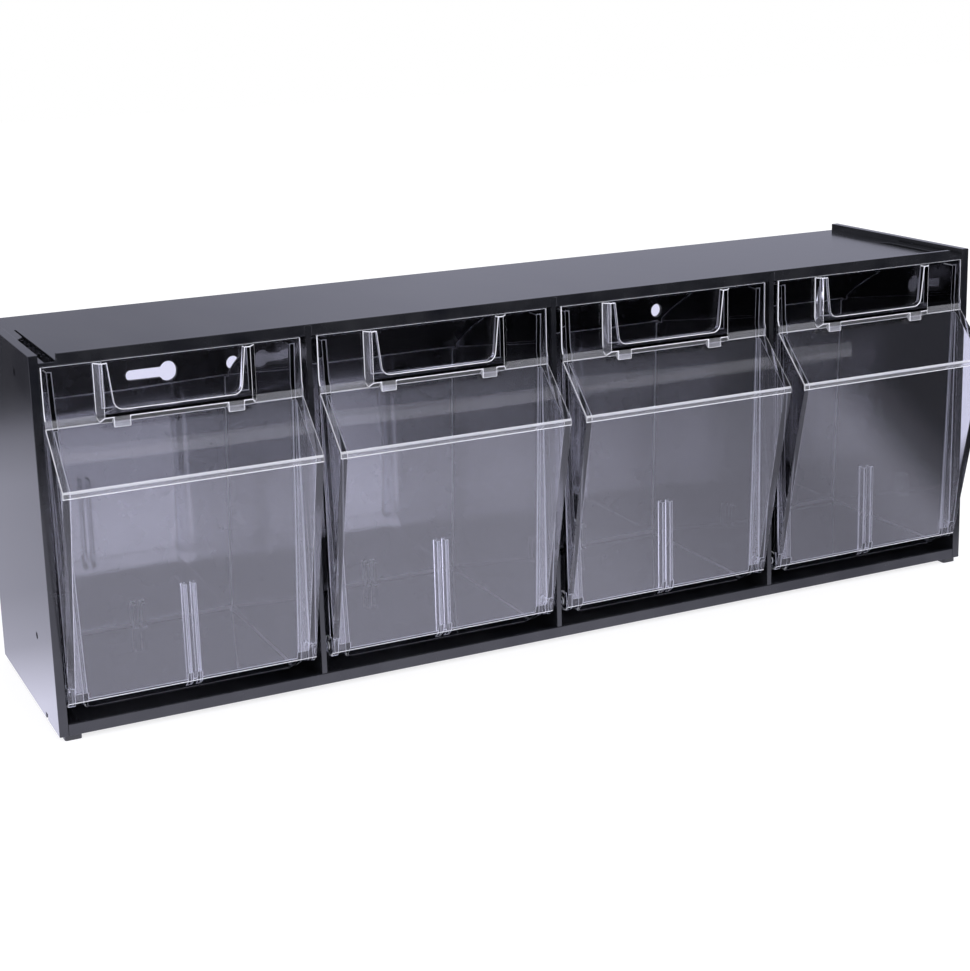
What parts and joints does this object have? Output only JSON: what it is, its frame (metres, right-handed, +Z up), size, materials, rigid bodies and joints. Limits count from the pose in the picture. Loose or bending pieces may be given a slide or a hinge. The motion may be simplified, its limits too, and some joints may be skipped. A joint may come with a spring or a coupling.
{
  "type": "tilt bin storage unit",
  "caption": "Dark plastic storage cabinet for a bench or wall with a row of clear bins that tilt forward, each with a U-shaped label frame.",
  "frame": {"origin": "bottom centre of the whole unit's box, on the surface that the feet stand on", "axes": "+X along the row of bins to the right, +Y to the back, +Z up; the bins face -Y"},
  "size_m": [0.6, 0.168, 0.2094],
  "materials": {
    "cabinet_plastic": "black polystyrene, satin, fine moulded grain",
    "foot_plastic": "black, satin",
    "clear_plastic": "clear polystyrene, polished",
    "frame_plastic": "clear polystyrene, polished"
  },
  "bodies": {
    "cabinet": {"top_panel": "cabinet_plastic", "bottom_panel": "cabinet_plastic", "back_panel": "cabinet_plastic", "left_end_panel": "cabinet_plastic", "right_end_panel": "cabinet_plastic", "partition_1": "cabinet_plastic", "partition_2": "cabinet_plastic", "partition_3": "cabinet_plastic", "front_left_foot": "foot_plastic", "front_right_foot": "foot_plastic", "rear_left_foot": "foot_plastic", "rear_right_foot": "foot_plastic"},
    "tilt_bin_1": {"bin_1": "clear_plastic", "label_frame_1": "frame_plastic"},
    "tilt_bin_2": {"bin_2": "clear_plastic", "label_frame_2": "frame_plastic"},
    "tilt_bin_3": {"bin_3": "clear_plastic", "label_frame_3": "frame_plastic"},
    "tilt_bin_4": {"bin_4": "clear_plastic", "label_frame_4": "frame_plastic"}
  },
  "joints": [
    {"name": "tilt_1", "type": "hinge", "parent": "cabinet", "child": "tilt_bin_1", "pos_m": [-0.22425, -0.0504, 0.0235], "axis": [1, 0, 0], "range_deg": [0, 38]},
    {"name": "tilt_2", "type": "hinge", "parent": "cabinet", "child": "tilt_bin_2", "pos_m": [-0.07475, -0.0504, 0.0235], "axis": [1, 0, 0], "range_deg": [0, 38]},
    {"name": "tilt_3", "type": "hinge", "parent": "cabinet", "child": "tilt_bin_3", "pos_m": [0.07475, -0.0504, 0.0235], "axis": [1, 0, 0], "range_deg": [0, 38]},
    {"name": "tilt_4", "type": "hinge", "parent": "cabinet", "child": "tilt_bin_4", "pos_m": [0.22425, -0.0504, 0.0235], "axis": [1, 0, 0], "range_deg": [0, 38]}
  ]
}
